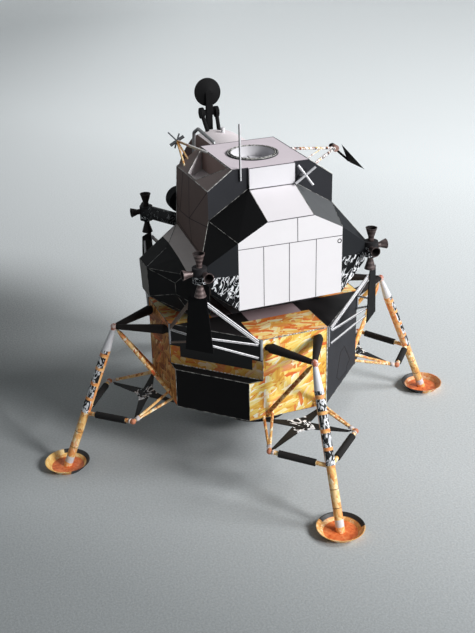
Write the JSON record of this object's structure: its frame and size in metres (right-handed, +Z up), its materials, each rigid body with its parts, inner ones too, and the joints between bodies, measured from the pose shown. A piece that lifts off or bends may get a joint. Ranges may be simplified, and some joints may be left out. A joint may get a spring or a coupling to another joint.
{
  "type": "card model of a two-stage lunar lander",
  "caption": "Card and wire model of a two-stage lunar lander standing on four splayed legs with dish footpads, with tilting radar and swivelling antenna dishes.",
  "frame": {"origin": "on the floor, under the middle of the four footpads", "axes": "+Z up, +Y to the front (hatch, porch and ladder), +X to starboard"},
  "size_m": [0.1988, 0.1988, 0.1522],
  "materials": {
    "ascent_card": "matt",
    "black_card": "matt",
    "brown_card": "printed, satin",
    "descent_card": "printed, satin",
    "foil_print": "printed, satin",
    "gold_foil": "printed, satin",
    "grey_wire": "satin",
    "orange_foil": "printed, satin",
    "sleeve_card": "matt",
    "strut_foil": "printed, satin",
    "white_card": "matt"
  },
  "bodies": {
    "root": {"aft_cross_brace": "black_card", "aft_deployment_truss": "gold_foil", "aft_footpad": "orange_foil", "aft_lower_struts": "gold_foil", "aft_primary_strut": "strut_foil", "aft_secondary_struts": "sleeve_card", "aft_upper_struts": "black_card", "ascent_aft_bay": "ascent_card", "ascent_cabin": "ascent_card", "ascent_middle": "ascent_card", "descent_body": "descent_card", "descent_engine_bell": "black_card", "docking_light": "white_card", "docking_tunnel": "white_card", "fore_cross_brace": "black_card", "fore_deployment_truss": "gold_foil", "fore_footpad": "orange_foil", "fore_lower_struts": "gold_foil", "fore_primary_strut": "strut_foil", "fore_secondary_struts": "sleeve_card", "fore_upper_struts": "black_card", "front_hatch": "white_card", "high_gain_boom": "gold_foil", "ladder": "grey_wire", "porch": "grey_wire", "port_aft_deflector": "black_card", "port_aft_thrusters": "brown_card", "port_cross_brace": "black_card", "port_deployment_truss": "gold_foil", "port_footpad": "orange_foil", "port_fore_deflector": "black_card", "port_fore_thrusters": "brown_card", "port_lower_struts": "gold_foil", "port_primary_strut": "strut_foil", "port_secondary_struts": "sleeve_card", "port_tank_cover": "black_card", "port_upper_struts": "black_card", "port_whip_antenna": "gold_foil", "radar_mount": "black_card", "rod_antenna": "grey_wire", "roof_handrail": "grey_wire", "stage_skirt": "black_card", "starboard_aft_deflector": "black_card", "starboard_aft_thrusters": "brown_card", "starboard_cross_brace": "black_card", "starboard_deployment_truss": "gold_foil", "starboard_footpad": "orange_foil", "starboard_fore_deflector": "black_card", "starboard_fore_thrusters": "brown_card", "starboard_lower_struts": "gold_foil", "starboard_primary_strut": "strut_foil", "starboard_secondary_struts": "sleeve_card", "starboard_tank_cover": "black_card", "starboard_upper_struts": "black_card", "starboard_whip_antenna": "white_card", "thruster_booms": "foil_print", "thruster_fairings": "foil_print"},
    "radar": {"radar_dish": "black_card"},
    "high_gain": {"high_gain_dish": "black_card"}
  },
  "joints": [
    {"name": "radar_tilt", "type": "hinge", "parent": "root", "child": "radar", "pos_m": [0, 0.0505, 0.137], "axis": [1, 0, 0], "range_deg": [-35, 45]},
    {"name": "high_gain_swivel", "type": "hinge", "parent": "root", "child": "high_gain", "pos_m": [0.043, 0.01, 0.126], "axis": [0, 1, 0], "range_deg": [-40, 40]}
  ]
}
